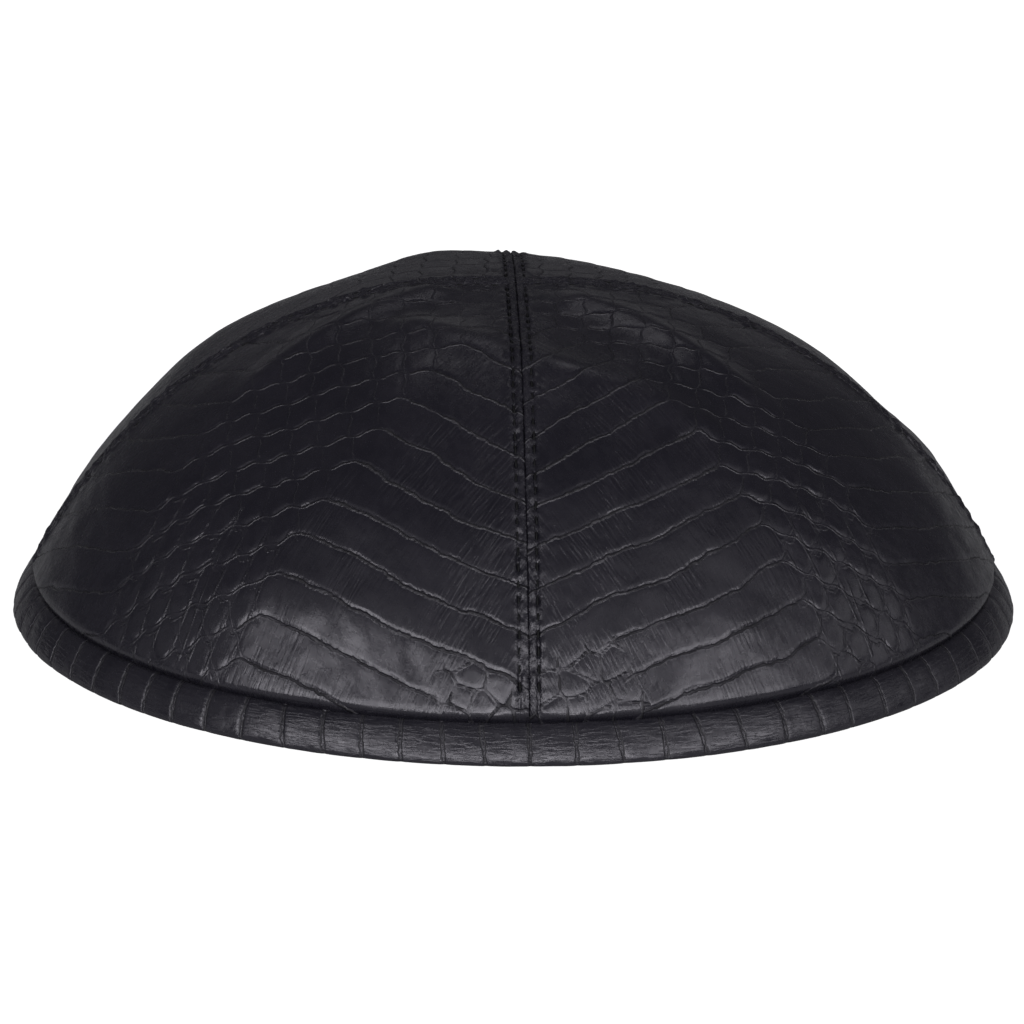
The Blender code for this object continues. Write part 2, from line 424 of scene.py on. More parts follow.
class Skin:
    """Scale pattern of one gore: phases whose whole numbers are creases, and distances to the others."""

    def __init__(self, patch, row):
        _node, side_x, side_y, pitch, left, right, columns, climb, offset = row[:9]
        strong_a, strong_b, seed, cells_across, cells_down = row[9:]
        u, v = patch.flat()
        self.u, self.v = u, v
        toward = side_x * side_y * u
        column = (right - left) / columns
        c = (np.clip(u + ripples(u, v, COLUMN_WANDERS_MM, seed), left, right) - left) / column
        down = (v - self.bow(u, left, right) + ripples(u, v, ROW_WANDERS_MM, seed)) / pitch
        dorsal = smooth(*DORSAL_EDGE, np.minimum(u - left, right - u) / column)
        low = smooth(*LOW_ZONE_MM, v) * dorsal
        middle_zone = smooth(*MIDDLE_ZONE_MM, v)
        cell_zone = smooth(cells_across, cells_across + CELL_BLEND_MM[0], toward)
        cell_zone = cell_zone * smooth(cells_down, cells_down + CELL_BLEND_MM[1], v)

        a = down + climb * c + offset
        b = down - (1 - climb) * c + offset
        self.a = a + ZIGZAG * np.sin(2 * math.pi * b) * dorsal
        self.b = b + ZIGZAG * np.sin(2 * math.pi * a) * dorsal
        self.mm_a = self.spacing(climb, column, pitch, dorsal)
        self.mm_b = self.spacing(1 - climb, column, pitch, dorsal)
        self.other = np.minimum(
            self.within(low, self.hexagons(c, down + offset, climb, column, pitch)),
            np.minimum(
                self.within(middle_zone, self.middle_line(u, v, seed)),
                self.within(cell_zone, self.cells(toward, v, seed)),
            ),
        )

        self.flank = (1 - dorsal) * smooth(-SIDE_BLEND_MM, SIDE_BLEND_MM, -toward)
        self.near = (1 - dorsal) * smooth(-SIDE_BLEND_MM, SIDE_BLEND_MM, toward)
        uneven = CREASE_MEAN + ripples(u, v, CREASE_UNEVEN, seed)
        shown = (1 - cell_zone) * np.clip(uneven, *CREASE_LIMITS) * (1 - (1 - LOW_ROWS) * low)
        self.weight_a = shown * self.dashes(self.b, dorsal) * (1 - dorsal * (1 - strong_a))
        self.weight_b = shown * self.dashes(self.a, dorsal) * dorsal * strong_b
        self.weight_other = LOW_CREASES * np.maximum(low, middle_zone * MIDDLE_CREASE)
        self.weight_other += CELL_CREASES * cell_zone
        self.step = STEP_MM + (DORSAL_STEP_MM - STEP_MM) * dorsal * (1 - 0.5 * low)
        self.step += (FLANK_STEP_MM - STEP_MM) * self.flank

    @staticmethod
    def bow(u, left, right):
        """How far a row hangs down beside the dorsal zone."""
        right_part = np.clip((u - right) / BOW_RIGHT_MM[1], 0, 1)
        left_part = np.clip((left - u) / BOW_LEFT_MM[1], 0, 1)
        return BOW_RIGHT_MM[0] * np.sin(math.pi * right_part) + BOW_LEFT_MM[0] * np.sin(math.pi * left_part)

    @staticmethod
    def spacing(climb, column, pitch, dorsal):
        """Millimetres from one crease of a family to the next."""
        slant = math.hypot(1 / pitch, climb / column)
        return 1 / (slant * dorsal + (1 - dorsal) / pitch)

    @staticmethod
    def dashes(crossing, dorsal):
        """How much of a dorsal crease is left where the other family crosses it."""
        at_crossing = 1 - smooth(0.1, 0.5, 0.5 - 0.5 * np.cos(2 * math.pi * crossing))
        return 1 - DASH_GAPS * dorsal * at_crossing

    @staticmethod
    def within(zone, distance):
        """The distance to a crease, made far where its zone has ended."""
        return distance + FAR_MM * (1 - smooth(0, 0.25, zone))

    @staticmethod
    def hexagons(c, down, climb, column, pitch):
        """Distance to the edges of the tall scales low on the gore, which stand in columns."""
        k = np.round(c)
        x = c - k
        row = down + climb * k - HEXAGON_POINT * (0.5 - np.abs(x))
        to_row = np.abs(row - np.round(row)) * pitch
        to_column = (0.5 - np.abs(x)) * column
        return np.minimum(to_row, to_column)

    @staticmethod
    def middle_line(u, v, seed):
        """Distance to the crease down the middle of the gore's lower scales."""
        return np.abs(u - MIDDLE_SWAY_MM * np.sin(v / MIDDLE_SWAY_WAVE_MM + seed))

    @staticmethod
    def cells(toward, v, seed):
        """Distance to the edges of the small uneven scales beside a middle seam."""
        draw = np.random.default_rng(seed + 300)
        shift_across, shift_down = CELL_SHIFTS_MM
        nearest = np.full(v.shape, 1e3)
        second = np.full(v.shape, 1e3)
        for across in np.arange(*CELL_PLACES_ACROSS_MM):
            for drop in np.arange(*CELL_PLACES_DOWN_MM):
                middle_across = across + draw.uniform(-shift_across, shift_across)
                middle_drop = drop + draw.uniform(-shift_down, shift_down)
                far = np.hypot(toward - middle_across, v - middle_drop)
                second = np.where(far < nearest, nearest, np.minimum(second, far))
                nearest = np.minimum(nearest, far)
        return (second - nearest) / 2

    def relief_mm(self):
        """Height of the skin's slow forms. The creases' sharp cores are in the material."""
        total = ripples(self.u, self.v, SKIN_SWELLS_MM)
        for phase, mm, weight in ((self.a, self.mm_a, self.weight_a), (self.b, self.mm_b, self.weight_b)):
            part = phase - np.floor(phase)
            lip = LIP_MM / mm
            fall = 0.5 + 0.5 * np.cos(math.pi * (part - 1 + lip) / lip)
            climb = np.where(part < 1 - lip, part / (1 - lip), fall)
            to_crease = np.minimum(part, 1 - part) * mm
            total += weight * (self.step * climb - CREASE_DIP_MM * bell(to_crease, DIP_SPREAD_MM))
        total -= OTHER_DIP_MM * self.weight_other * bell(self.other, DIP_SPREAD_MM)
        return total * (CROWN_RELIEF + (1 - CROWN_RELIEF) * smooth(*CROWN_ZONE_MM, self.v))


def under_thread(down_mm):
    """1 under the middle of each stitch of a seam and 0 between two stitches."""
    return 0.5 - 0.5 * np.cos(2 * math.pi * (down_mm - SEAM_STARTS_MM) / STITCH_PITCH_MM)


def seam_relief_mm(patch):
    """Height across a seam: the gap, the puffed strip, pinched at each stitch, and the stitches' groove."""
    from_seam = patch.from_seam / MM
    down = patch.down_seam / MM
    total = np.zeros_like(from_seam)
    uneven = 1 + ripples(down, from_seam + 7 * patch.side_x, SEAM_UNEVEN)
    pinch = smooth(0.1, 0.9, under_thread(down))
    for _name, middle, spread, height, pinched in SEAM_FORMS_MM:
        total += height * bell(from_seam - middle, spread) * (1 - pinched * pinch) * uneven
    pull = STITCH_GROOVE_LEAST + (1 - STITCH_GROOVE_LEAST) * smooth(0.05, 0.6, under_thread(down))
    total -= STITCH_GROOVE_DEPTH_MM * pull * bell(from_seam - STITCH_ROW_MM, STITCH_GROOVE_MM)
    crumple = ripples(down, from_seam * 1.3 + 11 * patch.side_x, SEAM_CRUMPLE_MM)
    return total + crumple * smooth(*SEAM_CRUMPLE_ENDS_MM, from_seam)


def rows_of(*values):
    return np.stack(values, -1).reshape(-1, 3)


def add_vectors(mesh, name, values):
    attribute = mesh.attributes.new(name, "FLOAT_VECTOR", "POINT")
    attribute.data.foreach_set("vector", np.ascontiguousarray(values, dtype=np.float32).reshape(-1))


def link(data, name):
    obj = bpy.data.objects.new(name, data)
    bpy.context.scene.collection.objects.link(obj)
    return obj


def mesh_from(name, materials, points, quads, triangles=np.zeros((0, 3), int)):
    """A smooth mesh from arrays of points, quads and triangles."""
    mesh = bpy.data.meshes.new(name)
    corners = np.concatenate((quads.reshape(-1), triangles.reshape(-1)))
    sizes = np.concatenate((np.full(len(quads), 4), np.full(len(triangles), 3)))
    mesh.vertices.add(len(points))
    mesh.vertices.foreach_set("co", points.astype(np.float32).reshape(-1))
    mesh.loops.add(len(corners))
    mesh.loops.foreach_set("vertex_index", corners.astype(np.int32))
    mesh.polygons.add(len(sizes))
    mesh.polygons.foreach_set("loop_start", np.concatenate(((0,), np.cumsum(sizes)[:-1])).astype(np.int32))
    mesh.update(calc_edges=True)
    mesh.validate()
    mesh.shade_smooth()
    for material in materials:
        mesh.materials.append(material)
    return mesh


def grid_quads(rows, columns, first, turned):
    i, j = np.meshgrid(np.arange(rows - 1), np.arange(columns - 1), indexing="ij")
    corner = (first + i * columns + j).reshape(-1)
    quads = np.stack((corner, corner + columns, corner + columns + 1, corner + 1), axis=1)
    return quads[:, ::-1] if turned else quads


def border(count):
    """The indices of a square grid's border, once round."""
    last = count - 1
    up = np.arange(last)
    down = last - up
    return np.concatenate((up * count, last * count + up, down * count + last, down))


def edge_triangles(outer_count, inner_count, inner_first, turned):
    """Joins the borders of the outer face and the inner face, which has half as many steps."""
    outer = border(outer_count)
    inner = border(inner_count) + inner_first
    a0, a1, a2 = outer[0::2], outer[1::2], np.roll(outer, -2)[0::2]
    b0, b1 = inner, np.roll(inner, -1)
    triangles = np.concatenate([np.stack(three, 1) for three in ((a0, b0, a1), (a1, b0, b1), (a1, b1, a2))])
    return triangles[:, ::-1] if turned else triangles


def gore_points(outer, inner, skin):
    """Points of the outer face, with skin and seams, then of the plain inner face."""
    free = smooth((SEAM_ENDS_MM - SEAM_FADE_MM) * MM, SEAM_ENDS_MM * MM, outer.up_slope)
    grown = smooth(*SKIN_STARTS_MM, outer.from_seam / MM)
    skin_relief = skin.relief_mm() * (SKIN_BESIDE_SEAM + (1 - SKIN_BESIDE_SEAM) * grown)
    relief = (skin_relief + seam_relief_mm(outer)) * free * MM
    outside = outer.place(outer.base() + relief, SEAM_HALF_GAP_MM * MM)
    inside = inner.place(inner.base() - GORE_LEATHER, 0)
    return np.concatenate((outside.reshape(-1, 3), inside.reshape(-1, 3)))


def gore_mesh(name, materials, points, count, inner_count, turned):
    """The outer face's quads, then the inner face's in the second material, then the triangles between."""
    outer_quads = grid_quads(count, count, 0, turned)
    inner_quads = grid_quads(inner_count, inner_count, count * count, not turned)
    triangles = edge_triangles(count, inner_count, count * count, turned)
    mesh = mesh_from(name, materials, points, np.concatenate((outer_quads, inner_quads)), triangles)
    slots = np.zeros(len(mesh.polygons), np.int32)
    slots[len(outer_quads) : len(outer_quads) + len(inner_quads)] = 1
    mesh.polygons.foreach_set("material_index", slots)
    return mesh


def make_gore(row, materials):
    node, side_x, side_y = row[:3]
    lines = grid_lines()
    outer = Patch(lines, side_x, side_y)
    inner = Patch(lines[::2], side_x, side_y)
    skin = Skin(outer, row)
    points = gore_points(outer, inner, skin)
    mesh = gore_mesh(node + "_skin", materials, points, len(lines), len(lines[::2]), side_x * side_y > 0)
    inner_u, inner_v = inner.flat()
    zero, inner_zero = np.zeros_like(skin.u), np.zeros_like(inner_u)
    nothing = (inner_zero, inner_zero, inner_zero)
    for name, outside, inside in (
        ("zones", (skin.flank, skin.near, zero), nothing),
        ("creases", (skin.a, skin.b, skin.other), (inner_zero, inner_zero, inner_zero + FAR_MM)),
        ("weights", (skin.weight_a, skin.weight_b, skin.weight_other), nothing),
        ("flat", (skin.u, skin.v, outer.from_seam / MM), (inner_u, inner_v, inner.from_seam / MM)),
    ):
        add_vectors(mesh, name, np.concatenate((rows_of(*outside), rows_of(*inside))))
    mesh.set_sharp_from_angle(angle=math.radians(60))
    gore = link(mesh, node + "_skin")
    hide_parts(node)
    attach(gore, "root")


def allowance_thickness_mm(across, down):
    """Full almost to the edges, with a nick along the seam and a pull at each stitch."""
    beside = np.abs(across)
    thick = ALLOWANCE_THICK_MM * smooth(ALLOWANCE_MM + 0.02, ALLOWANCE_MM - 0.5, beside)
    thick = thick * (1 - 0.8 * bell(beside, 0.3))
    thick = thick - 0.25 * under_thread(down) * bell(beside - STITCH_ROW_MM, 0.4)
    thick = thick + 0.05 * ripple(down, across, 9, 41)
    return ALLOWANCE_BACKING_MM + np.maximum(thick, ALLOWANCE_LEAST_MM)


def box_quads(rows, columns):
    """Quads of two equal grids, one behind the other, and of the band that joins their borders."""
    total = rows * columns
    index = np.arange(total).reshape(rows, columns)
    rim = np.concatenate((index[:-1, 0], index[-1, :-1], index[:0:-1, -1], index[0, :0:-1]))
    after = np.roll(rim, -1)
    band = np.stack((rim, after, after + total, rim + total), 1)[:, ::-1]
    near, far = grid_quads(rows, columns, 0, False), grid_quads(rows, columns, total, True)
    return np.concatenate((near, far, band))


def make_allowance(name, seam_azimuth, material):
    """The two gores' edges inside one seam, opened flat: a strip across the seam with a nick between."""
    half = np.array(ALLOWANCE_LINES_MM)
    lines_mm = np.concatenate((-half[:0:-1], half))
    low_end = DOME_ARC - BINDING_WIDTH * ALLOWANCE_ENDS
    downs = np.linspace(ALLOWANCE_STARTS_MM * MM, low_end, ALLOWANCE_ROWS)
    down, across = np.meshgrid(downs, lines_mm * MM, indexing="ij")
    polar = down / DOME_RADIUS
    azimuth = seam_azimuth + np.arcsin(np.clip(across / (DOME_RADIUS * np.sin(polar)), -0.7, 0.7))
    near_face = leather_out(azimuth, polar) - GORE_LEATHER - CLEARANCE / 3
    far_face = near_face - allowance_thickness_mm(across / MM, down / MM) * MM
    points = [cap_point(azimuth, polar, out).reshape(-1, 3) for out in (near_face, far_face)]
    mesh = mesh_from(name, [material], np.concatenate(points), box_quads(*down.shape))
    apart = 200 * math.cos(seam_azimuth)  # so that no two strips show the same grain
    flat = rows_of(across / MM, down / MM + apart, np.abs(across) / MM)
    add_vectors(mesh, "flat", np.concatenate((flat, flat + (0, 0, 1))))
    mesh.set_sharp_from_angle(angle=math.radians(50))
    strip = link(mesh, name)
    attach(strip, "root")


def leaf_curve(inward):
    """One leaf's free face from top to bottom as (radius, height, share down the leaf)."""
    rows = np.array(LEAF_ROWS)
    gaps = np.hypot(np.diff(rows[:, 0]) * BINDING_WIDTH, np.diff(rows[:, 1]) * BINDING_LEATHER)
    at = np.concatenate(((0,), np.cumsum(gaps)))
    fine = np.linspace(0, at[-1], LEAF_STEPS)
    shares, insets = hermite(at, rows[:, 0], fine), hermite(at, rows[:, 1], fine)
    points = []
    for share, inset_share in zip(shares, insets):
        inset = inset_share * BINDING_LEATHER
        if inward:
            inset = BINDING_DEPTH - inset
        base = slope_height(inset, 0)
        radius, height = wall_point(base + share * (BINDING_WIDTH - base), inset)
        points.append((radius, max(height, 0), share))
    return points


def hermite(at, values, fine):
    """A smooth curve through the values."""
    slopes = np.gradient(values, at)
    k = np.clip(np.searchsorted(at, fine, side="right") - 1, 0, len(at) - 2)
    span = at[k + 1] - at[k]
    t = (fine - at[k]) / span
    return (
        (2 * t**3 - 3 * t**2 + 1) * values[k]
        + (t**3 - 2 * t**2 + t) * span * slopes[k]
        + (3 * t**2 - 2 * t**3) * values[k + 1]
        + (t**3 - t**2) * span * slopes[k + 1]
    )


def binding_profile():
    """Section of the binding: radius, height, share down the leaf and how freely its ribs show."""
    outer = [(r, z, share, 1.0) for r, z, share in leaf_curve(False)]
    inner = [(r, z, share, RIBS_INSIDE) for r, z, share in leaf_curve(True)][::-1]
    mouth = GROOVE_MOUTH_SHARE * BINDING_WIDTH
    floor_in = slope_height(GROOVE_INSET, BINDING_LEATHER)
    floor_out = slope_height(BINDING_LEATHER, BINDING_LEATHER)
    groove = [
        (*wall_point(mouth, GROOVE_INSET), 1.0, 0.0),
        (*wall_point(floor_in, GROOVE_INSET), 0.0, 0.0),
        (*wall_point(floor_out, BINDING_LEATHER), 0.0, 0.0),
        (*wall_point(mouth, BINDING_LEATHER), 1.0, 0.0),
    ]
    return np.array(outer + inner + groove)


def rib_lines():
    """Azimuths of the ring's lines, each with its distance from the nearest crease and its lean."""
    draw = np.random.default_rng(21)
    widths = draw.uniform(*RIB_WIDTHS, RIBS)
    starts = np.concatenate(((0,), np.cumsum(widths)[:-1])) / widths.sum() * 2 * math.pi
    leans = draw.uniform(-RIB_LEAN, RIB_LEAN, RIBS)
    around = RIM_RADIUS / MM
    lines = []
    for rib in range(RIBS):
        start = starts[rib]
        end = starts[(rib + 1) % RIBS] + (2 * math.pi if rib == RIBS - 1 else 0)
        lean_a, lean_b = leans[rib], leans[(rib + 1) % RIBS]
        width = (end - start) * around
        near = list(RIB_SAMPLES_MM) + [width / 2]
        places = near + [width - mm for mm in reversed(near[1:-1])]
        for mm in places:
            share = mm / width
            lean = lean_a + (lean_b - lean_a) * share
            lines.append((start + mm / around, mm, width, lean))
    return np.array(lines)


def rib_relief_mm(u, v, share, width, from_crease):
    """Height of the ribs, each with a dip at its edges, and of the waved top edge that the stitches pull."""
    part = from_crease / width
    to_crease = np.minimum(from_crease, width - from_crease)
    relief = RIB_STEP_MM * (part - smooth(1 - RIB_STEP_FALL_MM / width, 1, part))
    relief = relief - RIB_DIP_MM * bell(to_crease, RIB_DIP_SPREAD_MM) + RIB_BULGE_MM * np.sin(math.pi * part)
    relief = relief + ripples(u, v, BINDING_SWELLS_MM)
    middle = smooth(0, 0.12, share) * smooth(1.01, 0.93, share)
    pulled = smooth(0.93, 1, share) * (0.5 + 0.5 * np.cos(2 * math.pi * u / STITCH_PITCH_MM))
    return relief * (RIB_ENDS + (1 - RIB_ENDS) * middle) - RIB_NIBBLE_MM * pulled


def make_binding(material):
    profile = binding_profile()
    lines = rib_lines()
    steps, around = len(profile), len(lines)
    azimuth, from_crease, width, lean = (lines[:, [k]] for k in range(4))
    radius, height, share, free = (profile[:, k][None, :] for k in range(4))
    slant = np.tan(np.radians(RIB_SLANT_DEG * np.sin(azimuth - RIB_SLANT_FROM))) + lean
    turned = azimuth + (share - 0.5) * BINDING_WIDTH / RIM_RADIUS * slant * free
    to_crease = np.minimum(from_crease, width - from_crease)
    u, v, to_crease = np.broadcast_arrays(azimuth * RIM_RADIUS / MM, share * BINDING_WIDTH / MM, to_crease)
    section = profile[:, :2]
    tangent = np.roll(section, -1, axis=0) - np.roll(section, 1, axis=0)
    tangent /= np.linalg.norm(tangent, axis=1)[:, None]
    push = rib_relief_mm(u, v, share, width, from_crease) * free * MM
    r = radius - push * tangent[:, 1][None, :]
    z = np.maximum(height + push * tangent[:, 0][None, :], 0)
    points = rows_of(r * np.sin(turned), -r * np.cos(turned), z)
    i, j = np.meshgrid(np.arange(around), np.arange(steps), indexing="ij")
    next_i, next_j = (i + 1) % around, (j + 1) % steps
    corners = (i * steps + j, i * steps + next_j, next_i * steps + next_j, next_i * steps + j)
    quads = np.stack(corners, axis=-1).reshape(-1, 4)
    mesh = mesh_from("binding_strip", [material], points, quads)
    add_vectors(mesh, "flat", rows_of(u, v, to_crease))
    mesh.set_sharp_from_angle(angle=math.radians(50))
    binding = link(mesh, "binding_strip")
    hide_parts("edge_binding")
    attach(binding, "root")


def thread_points():
    """Points of a thread's visible loop along X, arched in Z, with its ends running into the leather."""
    length, radius, arch = STITCH_LENGTH_MM * MM, THREAD_RADIUS_MM * MM, THREAD_ARCH_MM * MM
    points = []
    for ring in range(THREAD_RINGS):
        t = ring / (THREAD_RINGS - 1) * 2 - 1
        thick = radius * math.sqrt(max(1 - t**4, 0.05))
        lift = arch * (1 - t**2) - arch * 0.5
        for side in range(THREAD_SIDES):
            turn = 2 * math.pi * side / THREAD_SIDES
            points.append((length / 2 * t, thick * math.cos(turn), thick * math.sin(turn) + lift))
    return np.array(points)


def thread_faces():
    """Quads round a thread and triangles over its two ends."""
    quads = []
    for ring in range(THREAD_RINGS - 1):
        for side in range(THREAD_SIDES):
            a = ring * THREAD_SIDES + side
            b = ring * THREAD_SIDES + (side + 1) % THREAD_SIDES
            quads.append((a, a + THREAD_SIDES, b + THREAD_SIDES, b))
    ends = []
    last = (THREAD_RINGS - 1) * THREAD_SIDES
    for side in range(1, THREAD_SIDES - 1):
        ends.append((0, side, side + 1))
        ends.append((last, last + side + 1, last + side))
    return np.array(quads), np.array(ends)


def stitch_point(seam_azimuth, side, down):
    """A place of a stitch row, down from the crown, beside the seam and sunk a little in the leather."""
    polar = down / DOME_RADIUS
    turn = math.asin(min(STITCH_ROW_MM * MM / (DOME_RADIUS * math.sin(polar)), 1)) * side
    azimuth = seam_azimuth + turn
    return cap_point(azimuth, polar, leather_out(azimuth, polar) - THREAD_SUNK_MM * MM)


def seam_stitches():
    """Each stitch's middle, direction along the seam and direction out of the leather."""
    places = []
    middle = np.array((0, 0, -CENTRE_DROP))
    count = int((DOME_ARC / MM - SEAM_ENDS_MM - SEAM_STARTS_MM) / STITCH_PITCH_MM)
    for seam in range(4):
        for side in (-1, 1):
            for number in range(count):
                down = (SEAM_STARTS_MM + (number + 0.5) * STITCH_PITCH_MM) * MM
                point = stitch_point(seam * math.pi / 2, side, down)
                ahead = stitch_point(seam * math.pi / 2, side, down + 0.5 * MM)
                places.append((point, ahead - point, point - middle))
    return places


def make_threads(material):
    """All the top-stitching as one piece, each stitch a little unlike the next."""
    draw = np.random.default_rng(51)
    shape = thread_points()
    quads, ends = thread_faces()
    points, all_quads, all_ends = [], [], []
    for number, (point, along, out) in enumerate(seam_stitches()):
        along = unit(along)
        along = unit(along + unit(np.cross(out, along)) * draw.uniform(-THREAD_LEAN, THREAD_LEAN))
        side = unit(np.cross(out, along))
        out = np.cross(along, side)
        point = point + out * draw.uniform(*THREAD_LIFTS_MM) * MM
        point = point + side * draw.uniform(-THREAD_ASIDE_MM, THREAD_ASIDE_MM) * MM
        stretched = shape * (draw.uniform(*THREAD_LENGTHS), 1, 1)
        points.append(point + stretched @ np.stack((along, side, out)))
        all_quads.append(quads + number * len(shape))
        all_ends.append(ends + number * len(shape))
    arrays = (np.concatenate(parts) for parts in (points, all_quads, all_ends))
    mesh = mesh_from("seam_stitches", [material], *arrays)
    threads = link(mesh, "seam_stitches")
    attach(threads, "root")


class Nodes:
    """Short calls for building a node tree."""

    def __init__(self, name):
        self.material = bpy.data.materials.new(name)
        self.material.use_nodes = True
        self.tree = self.material.node_tree
        self.shader = self.tree.nodes["Principled BSDF"]

    def add(self, kind, inputs=(), **settings):
        node = self.tree.nodes.new(kind)
        for key, value in settings.items():
            setattr(node, key, value)
        for socket, value in dict(inputs).items():
            self.put(node.inputs[socket], value)
        return node

    def put(self, socket, value):
        if isinstance(value, bpy.types.NodeSocket):
            self.tree.links.new(value, socket)
        else:
            socket.default_value = value

    def set(self, **values):
        """Sets the shader's sockets, named with underscores for spaces."""
        for name, value in values.items():
            self.put(self.shader.inputs[name.replace("_", " ")], value)

    def math(self, operation, *values):
        node = self.add("ShaderNodeMath", operation=operation)
        for socket, value in zip(node.inputs, values):
            self.put(socket, value)
        return node.outputs[0]

    def plus(self, first, second):
        return self.math("ADD", first, second)

    def minus(self, first, second):
        return self.math("SUBTRACT", first, second)

    def times(self, first, second):
        return self.math("MULTIPLY", first, second)

    def total(self, *terms):
        """The sum of values, each times its own height."""
        total = self.times(*terms[0])
        for value, height in terms[1:]:
            total = self.plus(total, self.times(value, height))
        return total

    def ramp(self, value, low, high, to_low=0.0, to_high=1.0):
        """Smooth step from one value to another."""
        node = self.add(
            "ShaderNodeMapRange",
            {"Value": value, "From Min": low, "From Max": high, "To Min": to_low, "To Max": to_high},
            interpolation_type="SMOOTHSTEP",
        )
        return node.outputs["Result"]

    def attribute(self, name):
        return self.add("ShaderNodeAttribute", attribute_name=name).outputs["Vector"]

    def split(self, vector):
        return self.add("ShaderNodeSeparateXYZ", {"Vector": vector}).outputs

    def scaled(self, vector, scale):
        node = self.add("ShaderNodeVectorMath", {0: vector, 1: scale}, operation="MULTIPLY")
        return node.outputs[0]

    def noise(self, vector, scale, detail=2.0, rough=0.5, distortion=0.0):
        inputs = {"Vector": vector, "Scale": scale, "Detail": detail, "Roughness": rough}
        inputs["Distortion"] = distortion
        return self.add("ShaderNodeTexNoise", inputs).outputs["Fac"]

    def colour(self, factor, first, second):
        node = self.add("ShaderNodeMix", {"Factor": factor, 6: first, 7: second}, data_type="RGBA")
        return node.outputs[2]

    def bump(self, height, distance, strength=1.0, normal=None):
        inputs = {"Height": height, "Distance": distance, "Strength": strength}
        if normal is not None:
            inputs["Normal"] = normal
        return self.add("ShaderNodeBump", inputs).outputs["Normal"]


GLOSS = {"Specular_IOR_Level": 0.95, "Specular_Tint": (0.95, 0.92, 1.0, 1)}
DULL_GLOSS = 0.3
PHASE_MM = 6.8  # about a row's pitch, for the width of the creases in the material
CREASE_HALF_MM = 0.32
GORE_COLOURS = ((0.009, 0.0085, 0.0135, 1), (0.014, 0.0130, 0.0190, 1))
GORE_CREASE_SHADE_COLOUR = (0.004, 0.004, 0.005, 1)
# Painted shade: the colour mixed into the creases' cores to darken them
GORE_ROUGHNESS = (0.22, 0.31)
GORE_CREASE_ROUGHNESS = 0.45
FLANK_CREASE_ROUGHNESS = 0.05
# Heights of the gores' fine relief
CREASE_BUMP_MM = -0.24
LIP_BUMP_MM = 0.075
WRINKLE_BUMP_MM = 0.055
CRUMPLE_BUMP_MM = 0.22
SWELL_BUMP_MM = 0.05
GRAIN_BUMP_MM = 0.018
FLESH_COLOURS = ((0.012, 0.0115, 0.012, 1), (0.030, 0.028, 0.029, 1))
FLESH_BUMP_MM = 0.12
BINDING_COLOURS = ((0.010, 0.0095, 0.0145, 1), (0.016, 0.0150, 0.0210, 1))
# Painted shade: the colour mixed into the binding's rib creases to darken them
BINDING_CREASE_SHADE_COLOUR = (0.006, 0.006, 0.007, 1)
BINDING_ROUGHNESS = (0.20, 0.30)
BINDING_CREASE_ROUGHNESS = 0.4
BINDING_CREASE_BUMP_MM = 0.10
BINDING_STREAK_BUMP_MM = 0.045
BINDING_SWELL_BUMP_MM = 0.06
BINDING_GRAIN_BUMP_MM = 0.02
# How far the painted shade darkens the colour in the creases of the gores and the binding
CREASE_SHADE_MIX = 0.8
THREAD_COLOURS = ((0.003, 0.003, 0.004, 1), (0.009, 0.009, 0.010, 1))
THREAD_TWIST = 900.0
THREAD_BUMP_MM = 0.03


def crease_forms(nodes, phase, narrow):
    """The core along a phase's whole numbers, which the material sinks and darkens with painted shade, and
    the rolled lip just above it.
    """
    shifted = nodes.math("FRACT", nodes.plus(phase, 0.5))
    signed = nodes.times(nodes.minus(shifted, 0.5), PHASE_MM)
    core = nodes.ramp(nodes.times(nodes.math("ABSOLUTE", signed), narrow), 0.0, CREASE_HALF_MM, 1.0, 0.0)
    rise = nodes.ramp(signed, -0.75, -0.25)
    fall = nodes.ramp(signed, -0.25, 0.05, 1.0, 0.0)
    return core, nodes.times(rise, fall)


def gore_creases(nodes, flat, flank, slow):
    """How deep in a crease a place lies, and how high on a crease's lip, from 0 to 1."""
    a, b, other = nodes.split(nodes.attribute("creases"))
    weight_a, weight_b, weight_other = nodes.split(nodes.attribute("weights"))
    fast = nodes.minus(nodes.noise(flat, 1.6), 0.5)
    wobble = nodes.total((slow, 0.10), (fast, 0.06))
    narrow = nodes.plus(nodes.times(flank, 0.7), 1.0)
    core_a, lip_a = crease_forms(nodes, nodes.plus(a, wobble), narrow)
    core_b, lip_b = crease_forms(nodes, nodes.plus(b, wobble), narrow)
    beside = nodes.plus(other, nodes.times(wobble, 3.0))
    core_other = nodes.ramp(beside, 0.0, CREASE_HALF_MM, 1.0, 0.0)
    patchy = nodes.ramp(nodes.noise(flat, 0.3), 0.40, 0.60, 0.2, 1.0)
    core_other = nodes.times(core_other, patchy)
    creases = nodes.math("MAXIMUM", nodes.times(core_a, weight_a), nodes.times(core_b, weight_b))
    creases = nodes.math("MAXIMUM", creases, nodes.times(core_other, weight_other))
    lips = nodes.total((lip_a, weight_a), (lip_b, weight_b))
    lips = nodes.times(lips, nodes.minus(1.0, flank))
    return creases, nodes.times(lips, nodes.ramp(nodes.noise(flat, 0.22), 0.38, 0.62, 0.15, 1.0))


